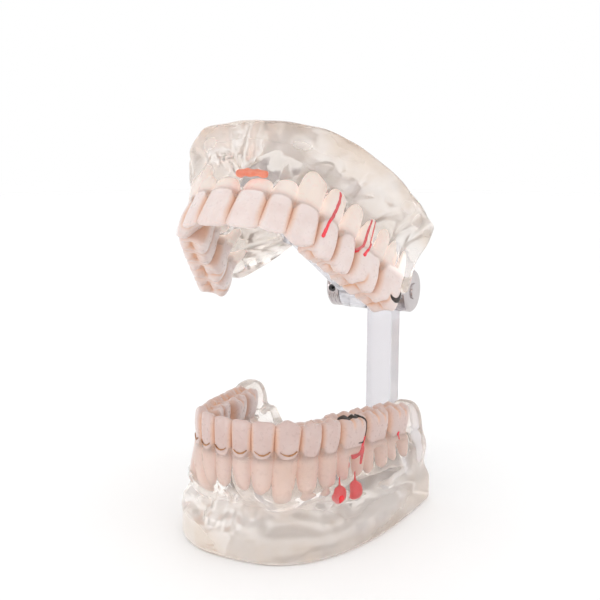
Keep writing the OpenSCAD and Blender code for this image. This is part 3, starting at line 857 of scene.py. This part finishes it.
def add_resin(jaw, field, low, high):
    """A resin base, with marks for its frosted bands, its milky depths, its tan painted shade and
    reflection of the teeth, and its painted glow.
    """
    points, quads = surface(field, low, high, GUM_CELL)
    gx, gy, v = unplace(jaw, *points.T)
    s, t = arch_coordinates(gx, gy, jaw)
    frost = 0.6 * bump(v, -13.5, 2.2) * ramp(-t, -2, 0)
    frost = frost * ramp(np.cos(0.5 * s), -0.2, 0.6) * ramp(-s, -26, -18)
    below = -v - 3.5 * bump(s, 33, 6)
    milk = 0.75 * ramp(below, 8, 12) + 0.25 * ramp(below, 11, 16)
    milk = np.maximum(milk, 0.5 * ramp(v, 0.5, 1.5))
    # Tan painted shade and painted reflection of the teeth: the upper jaw's flat top, where more light
    # falls, and the lower jaw's foot
    tan = 0.7 * ramp(-v, 17, 23) if jaw == "lower" else ramp(-v, 13, 18)
    # Painted light: the milky low part of the lower base glows faintly
    glow = milk * ramp(v, -24, -16) if jaw == "lower" else 0 * milk
    marks = [("frost", frost), ("milk", milk), ("tan", tan), ("glow", glow)]
    add_piece(f"{jaw}_resin_base", points, quads, Matrix.Identity(4), jaw + "_jaw",
              RESIN, [f"{jaw}_jaw_base"], marks)


def node_limits(node):
    """Box of a CAD node in millimetres."""
    low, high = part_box(node)
    return tuple(v / MM for v in low), tuple(v / MM for v in high)


add_resin("lower", lower_resin, *node_limits("lower_jaw_base"))
add_resin("upper", upper_resin, *node_limits("upper_jaw_base"))

# ---------- disease: stains that follow a tooth's own surface, and pieces cast in the resin ----------
STAIN_CELL = 0.17
STAIN_SUNK = 0.6
CYSTS = ((-7.4, -1.3, -11.4), (-1.4, -1.9, -10.9))


def add_stain(name, nodes, jaw, kind, side, region, low, high, depth, material):
    """A thin irregular layer on a tooth where region is negative, standing depth proud of it."""
    tooth = FIELDS[jaw, kind]

    def field(x, y, z):
        outside = tooth(x, y, z)
        skin = np.maximum(outside - depth, -outside - STAIN_SUNK)
        return np.maximum(skin, region(x, y, z))

    points, quads = surface(field, low, high, STAIN_CELL)
    return add_piece(name, points, quads, tooth_frame(jaw, kind, side), jaw + "_jaw",
                     material, nodes)


def cheek_line(points, radii, middle, size=1.4, seed=5):
    """Region along a line of [x, z] points seen from the cheek, with a slightly uneven edge."""
    def region(x, y, z):
        line = [(px, 0, pz) for px, pz in points]
        uneven = 1 + 0.25 * waves(x, y, z, size, seed)
        return np.maximum(line_distance(x, 0 * y, z, line, radii) + 0.2 * (1 - uneven), y - middle)
    return region


def add_calculus():
    """Brown tartar along the gum line of the six lower front teeth, joined into one piece."""
    made = []
    for kind in range(CANINE + 1):
        for side in (-1, 1):
            half = 0.33 * WIDTH["lower"][kind]
            smile = [(half * f, 0.55 + 0.95 * f * f) for f in np.linspace(-1, 1, 9)]
            radii = [0.07 + 0.1 * math.cos(1.4 * f) + 0.05 * f for f in np.linspace(-1, 1, 9)]
            made.append(add_stain(f"calculus_part_{kind}_{side}", [], "lower", kind, side,
                                  cheek_line(smile, radii, 0.2 * DEPTH["lower"][kind], 1.1, 11 + kind),
                                  (-half - 0.6, -2.2, -0.6), (half + 0.6, 1.6, 2.4), 0.3,
                                  TARTAR))
    join(made, "calculus", "lower_calculus")


def join(made, name, node):
    """Joins pieces that ride one body into one piece that replaces a node."""
    bpy.context.view_layer.update()
    with bpy.context.temp_override(active_object=made[0], selected_editable_objects=made,
                                   object=made[0], selected_objects=made):
        bpy.ops.object.join()
    made[0].name = name
    made[0].data.name = name
    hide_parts(node)


def add_lower_decay():
    """Black decay on the left first molar and the crack that runs down from it."""
    top = CROWN["lower"][FIRST_MOLAR]
    crack = [(-1.2, top - 0.6), (2.9, top - 0.9), (4.7, 5.6), (5.0, 1.6), (3.6, 0.5), (1.8, 0.6)]
    line = cheek_line(crack, [0.3, 0.3, 0.26, 0.24, 0.2, 0.12], 2.5, 1.2, 21)

    def decay(x, y, z):
        patch = np.sqrt(((x + 2.6) / 2.5) ** 2 + ((y - 1.9) / 1.9) ** 2 + ((z - top + 0.3) / 1.3) ** 2)
        patch = (patch - 1) * 1.5 + 0.4 * waves(x, y, z, 1.8, 22)
        return np.minimum(patch, line(x, y, z))

    add_stain("molar_decay", ["lower_molar_decay"], "lower", FIRST_MOLAR, LEFT, decay,
              (-6.4, -2.6, -0.4), (6.4, 5, top + 0.6), 0.16, DECAY)


def add_lower_pulps():
    """Branched red pulp of the left first molar and the red spot in the third molar."""
    pulp = [[(4.6, 1.6), (3.7, -0.8), (1.4, -3.2), (-1.4, -5.4)], [(3.7, -0.8), (3.3, -3.0), (3.0, -5.2)]]
    branches = [cheek_line(points, radii, 3.2, 1.5, 31) for points, radii in
                zip(pulp, ([0.42, 0.6, 0.52, 0.34], [0.58, 0.52, 0.34]))]
    add_stain("molar_pulp", ["lower_molar_pulp"], "lower", FIRST_MOLAR, LEFT,
              lambda x, y, z: np.minimum(*(branch(x, y, z) for branch in branches)),
              (-2.6, -2.4, -6.6), (6.4, 3.4, 2.8), 0.22, PULP)
    spot = cheek_line([(-0.5, 0.4), (-0.4, -1.4)], [0.42, 0.3], 2.6, 1.2, 41)
    add_stain("wisdom_pulp", ["lower_wisdom_pulp"], "lower", THIRD_MOLAR, LEFT, spot,
              (-1.8, -2.4, -2.6), (1.2, 2.8, 1.6), 0.22, PULP)


def add_cysts():
    """Two red cysts, each hanging from a root tip by a short stem."""
    def cysts(x, y, z):
        eggs = [np.sqrt(((x - cx) / 2.2) ** 2 + ((y - cy) / 1.7) ** 2 + ((z - cz) / 2.15) ** 2)
                for cx, cy, cz in CYSTS]
        egg = (np.minimum(*eggs) - 1) * 1.9 + 0.07 * waves(x, y, z, 1.6, 51)
        stems = [line_distance(x, y, z, [(cx, cy, cz + 1.5), (cx + 0.6, cy + 0.8, cz + 4.4)], [0.42, 0.2])
                 for cx, cy, cz in CYSTS]
        return smin(egg, np.minimum(*stems), 0.4)

    points, quads = surface(cysts, (-10.4, -4.6, -14.2), (3.2, 1, -6), 0.24)
    add_piece("root_cysts", points, quads, tooth_frame("lower", FIRST_MOLAR, LEFT), "lower_jaw",
              CYST, ["lower_root_cysts"])


def add_upper_decay():
    """Black crescent of decay on the last left molar."""
    top = CROWN["upper"][SECOND_MOLAR]
    arc = [(1.4 + 2.3 * math.cos(a), top - 5 + 2.3 * math.sin(a)) for a in np.linspace(-0.3, 2.3, 9)]
    crescent = cheek_line(arc, [0.25, 0.5, 0.62, 0.68, 0.66, 0.58, 0.46, 0.32, 0.15], 3.0, 1.3, 61)
    add_stain("upper_decay", ["upper_molar_decay"], "upper", SECOND_MOLAR, LEFT, crescent,
              (-2.6, -2.6, 1.8), (5.8, 3.2, top + 0.6), 0.18, DECAY)


def add_canals():
    """Red canals: one in the left first premolar, two in the left first molar."""
    canal = cheek_line([(0.2, -8.8), (-0.2, -5), (-0.7, -1.5), (-1.5, 1.5), (-2.1, 4.8)],
                       [0.2, 0.34, 0.4, 0.32, 0.42], 3.2, 1.5, 71)
    add_stain("premolar_canal", ["upper_premolar_canal"], "upper", FIRST_PREMOLAR, LEFT, canal,
              (-3.6, -2.4, -11), (2.2, 3.4, 5), 0.2, PULP)
    pair = [cheek_line([(tip, -8.6), (x, -4.5), (x, -0.5), (x - 1.3, 1.8)], [0.24, 0.34, 0.36, 0.36],
                       3.0, 1.5, 72) for tip, x in ((-3.4, -3.8), (-2.0, -1.6))]
    add_stain("molar_canals", ["upper_molar_canals"], "upper", FIRST_MOLAR, LEFT,
              lambda x, y, z: np.minimum(*(one(x, y, z) for one in pair)), (-6.2, -2.4, -9.8),
              (0.4, 3.2, 2.6), 0.2, PULP)


def add_lesion():
    """Orange-red bar over the root tips of the front teeth."""
    def lesion(x, y, z):
        bar = line_distance(x, 0.8 * y, z, [(-1.0, 0.7, -5.4), (0.8, 0.6, -5.5), (5.8, 0.7, -5.2)],
                            [1.15, 1.0, 0.75])
        return bar + 0.22 * waves(x, y, z, 2.4, 81)

    points, quads = surface(lesion, (-3.4, -0.8, -7.4), (8.2, 3.8, -3.6), 0.26)
    add_piece("root_lesion", points, quads, GUM_FRAME["upper"], "upper_jaw", LESION,
              ["upper_root_lesion"])


add_calculus()
add_lower_decay()
add_lower_pulps()
add_cysts()
add_upper_decay()
add_canals()
add_lesion()

# ---------- hinge hardware: CAD solids with softened edges ----------
# Material and edge rounding in millimetres
HARDWARE = {
    "hinge_post": (ACRYLIC, 0.35), "hinge_arm": (ACRYLIC, 0.35), "hinge_axle": (BRIGHT_STEEL, 0.3),
    "hinge_collar_left": (BRIGHT_STEEL, 0.15), "hinge_collar_right": (BRIGHT_STEEL, 0.15),
    "collar_set_screws": (DARK_STEEL, 0.1), "post_screws": (ACRYLIC, 0.25),
    "arm_screws": (ACRYLIC, 0.25),
}


def finish_hardware():
    for name, (material, edge) in HARDWARE.items():
        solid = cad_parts[name]
        solid.data.materials.clear()
        solid.data.materials.append(material)
        weld = solid.modifiers.new("join_split_edges", "WELD")
        weld.merge_threshold = 0.01 * MM
        bevel = solid.modifiers.new("soft_edges", "BEVEL")
        bevel.width = edge * MM
        bevel.segments = 2
        bevel.limit_method = "ANGLE"
        bevel.angle_limit = math.radians(40)


finish_hardware()

# ---------- camera, light and floor ----------
AZIMUTH = math.radians(27.7)
ELEVATION = math.radians(10.94)
CAMERA_DISTANCE = 0.250
TARGET = Vector((0, 0.001, 0.038))
SHIFT_RIGHT = 0.00333
SHIFT_UP = 0.02263
LENS = 54.8
FLOOR_RADIUS = 2.0
FLOOR_SIDES = 64
FLOOR_DROP = 0.15 * MM
FADE_START = 0.25
FADE_END = 1.6
LIGHT_BOUNCES = 32
# Name, place, aim, width and height, and power in watts
LIGHTS = (
    ("key", (-0.35, -0.5, 0.7), (0, 0, 0.05), (0.5, 0.5), 0.36),
    ("low", (-0.25, -0.6, 0.06), (0, 0, 0.08), (0.5, 0.1), 0.3),
    ("side", (0.7, -0.1, 0.4), (0, 0, 0.05), (0.4, 0.6), 0.25),
)


def add_camera():
    """The camera looks along AZIMUTH and ELEVATION, moved sideways and up to frame the model."""
    back = Vector((math.sin(AZIMUTH) * math.cos(ELEVATION), -math.cos(AZIMUTH) * math.cos(ELEVATION),
                   math.sin(ELEVATION)))
    right = Vector((math.cos(AZIMUTH), math.sin(AZIMUTH), 0))
    up = back.cross(right)
    data = bpy.data.cameras.new("camera")
    data.lens = LENS
    data.sensor_width = 36
    data.clip_start = 0.01
    camera = bpy.data.objects.new("camera", data)
    turned = Matrix((right, up, back)).transposed().to_4x4()
    turned.translation = TARGET + right * SHIFT_RIGHT + up * SHIFT_UP + back * CAMERA_DISTANCE
    camera.matrix_world = turned
    bpy.context.scene.collection.objects.link(camera)
    bpy.context.scene.camera = camera


def add_light(name, place, aim, size, power):
    """A soft rectangular lamp at place that faces aim."""
    data = bpy.data.lights.new(name, "AREA")
    data.shape = "RECTANGLE"
    data.size, data.size_y = size
    data.energy = power
    light = bpy.data.objects.new(name, data)
    light.location = place
    light.rotation_euler = (Vector(aim) - Vector(place)).to_track_quat("-Z", "Y").to_euler()
    bpy.context.scene.collection.objects.link(light)


def add_room():
    """A plain white room."""
    world = bpy.data.worlds.new("white_room")
    bpy.context.scene.world = world
    world.use_nodes = True
    sky = world.node_tree.nodes["Background"]
    sky.inputs["Color"].default_value = (1, 1, 1, 1)
    sky.inputs["Strength"].default_value = 1.0


def add_floor():
    """Pale table that fades out into the white room."""
    mesh = bpy.data.meshes.new("floor")
    turns = np.linspace(0, 2 * math.pi, FLOOR_SIDES + 1)[:-1]
    ring = [(FLOOR_RADIUS * math.cos(a), FLOOR_RADIUS * math.sin(a), 0) for a in turns]
    mesh.from_pydata(ring, [], [list(range(FLOOR_SIDES))])
    material, tree, shader, node = new_material("pale_floor")
    shader.inputs["Base Color"].default_value = (0.97, 0.97, 0.97, 1)
    shader.inputs["Roughness"].default_value = 0.6
    shader.inputs["Emission Color"].default_value = (1, 1, 1, 1)
    shader.inputs["Emission Strength"].default_value = 0.06
    where = node("ShaderNodeTexCoord").outputs["Object"]
    far = node("ShaderNodeVectorMath", [(0, where)], operation="LENGTH").outputs["Value"]
    fade = node("ShaderNodeMapRange", [("Value", far)], **{
        "From Min": FADE_START, "From Max": FADE_END, "To Min": 1.0, "To Max": 0.0})
    tree.links.new(fade.outputs["Result"], shader.inputs["Alpha"])
    mesh.materials.append(material)
    floor = bpy.data.objects.new("floor", mesh)
    floor.location.z = -FLOOR_DROP
    bpy.context.scene.collection.objects.link(floor)


add_camera()
add_room()
add_floor()
for light in LIGHTS:
    add_light(*light)
bpy.context.scene.view_settings.view_transform = "Standard"
bpy.context.scene.cycles.max_bounces = LIGHT_BOUNCES
bpy.context.scene.cycles.transmission_bounces = LIGHT_BOUNCES
